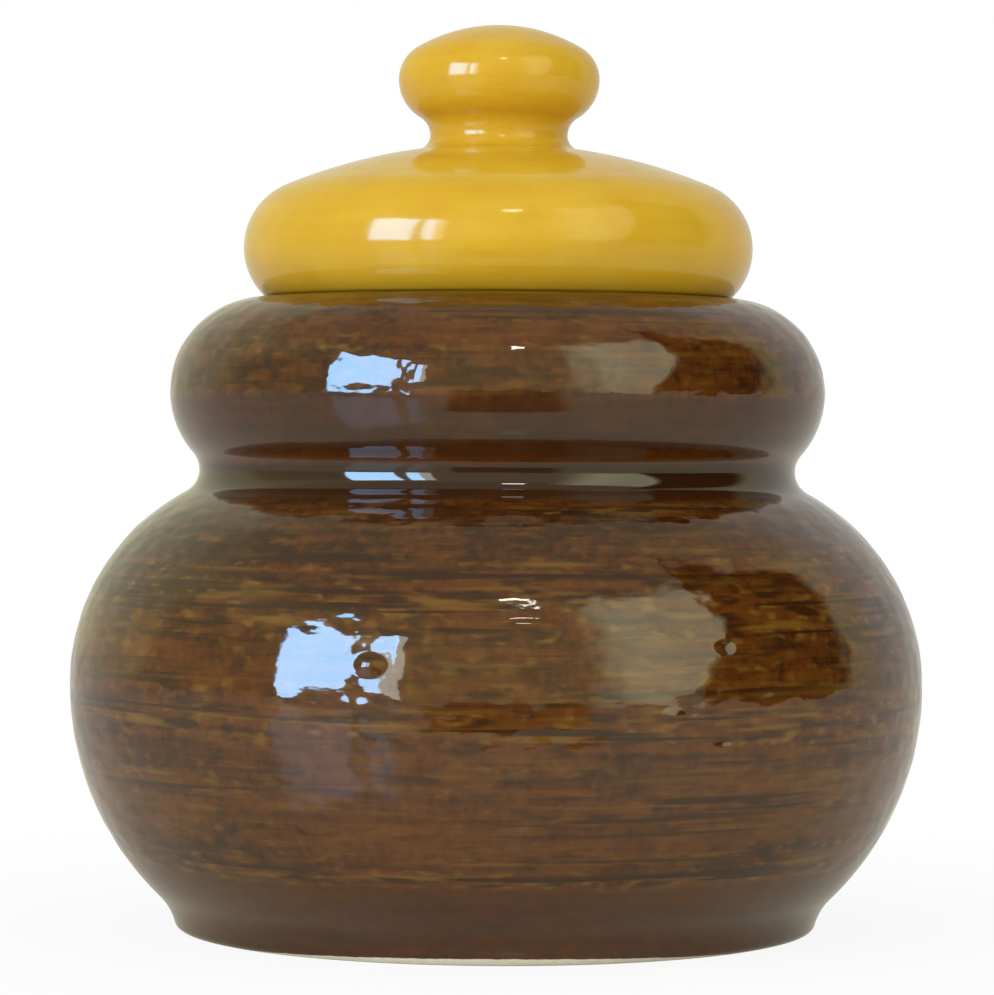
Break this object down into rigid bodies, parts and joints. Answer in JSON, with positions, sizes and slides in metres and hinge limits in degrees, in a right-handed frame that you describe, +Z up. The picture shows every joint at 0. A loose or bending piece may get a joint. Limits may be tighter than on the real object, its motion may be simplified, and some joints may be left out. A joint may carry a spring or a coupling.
{
  "type": "jam pot",
  "caption": "Round-bellied glazed stoneware jam pot with a pinched waist, a collar and a domed yellow lid that lifts off by its knob, for serving jam at table.",
  "frame": {"origin": "centre of the foot ring, on the plane that the pot stands on", "axes": "+Z up along the pot's axis; the pot is round about Z, and the picture looks along +Y"},
  "size_m": [0.11, 0.11, 0.1166],
  "materials": {
    "brown_glaze": "high gloss, streaked brown over brushed clay",
    "yellow_glaze": "high gloss, plain yellow"
  },
  "bodies": {
    "pot": {"pot": "brown_glaze"},
    "lid": {"lid": "yellow_glaze", "knob": "yellow_glaze"}
  },
  "joints": [
    {"name": "lid_lift", "type": "slide", "parent": "pot", "child": "lid", "axis": [0, 0, 1], "range_m": [0, 0.06]}
  ]
}
